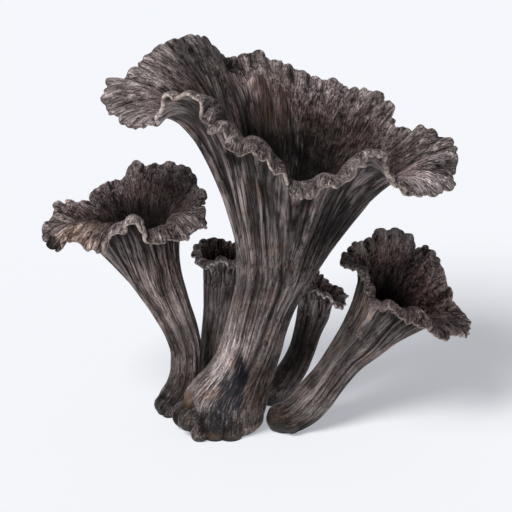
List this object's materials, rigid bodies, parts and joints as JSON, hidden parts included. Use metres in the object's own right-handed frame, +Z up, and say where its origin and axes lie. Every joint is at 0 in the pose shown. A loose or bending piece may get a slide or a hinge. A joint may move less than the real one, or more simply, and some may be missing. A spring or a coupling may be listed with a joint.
{
  "type": "black trumpet mushroom",
  "caption": "Clump of dark, hollow, trumpet-shaped mushrooms with wavy turned-out rims and ribbed stems that grew from one base and stand on their own feet.",
  "frame": {"origin": "on the ground, under the middle of the large trumpet's foot", "axes": "+Z up, +Y away from the front of the clump, +X to the right as seen from the front"},
  "size_m": [0.1086, 0.0714, 0.0973],
  "materials": {
    "large_trumpet": "dull ash-brown flesh, ribbed outside and scaly dark inside",
    "left_trumpet": "dull ash-brown flesh, ribbed outside and scaly dark inside",
    "right_trumpet": "dull ash-brown flesh, ribbed outside and scaly dark inside",
    "back_left_trumpet": "dull dark flesh, ribbed outside",
    "back_right_trumpet": "dull dark flesh, ribbed outside"
  },
  "bodies": {
    "root": {"large_trumpet": "large_trumpet", "left_trumpet": "left_trumpet", "right_trumpet": "right_trumpet", "back_left_trumpet": "back_left_trumpet", "back_right_trumpet": "back_right_trumpet"}
  },
  "joints": []
}
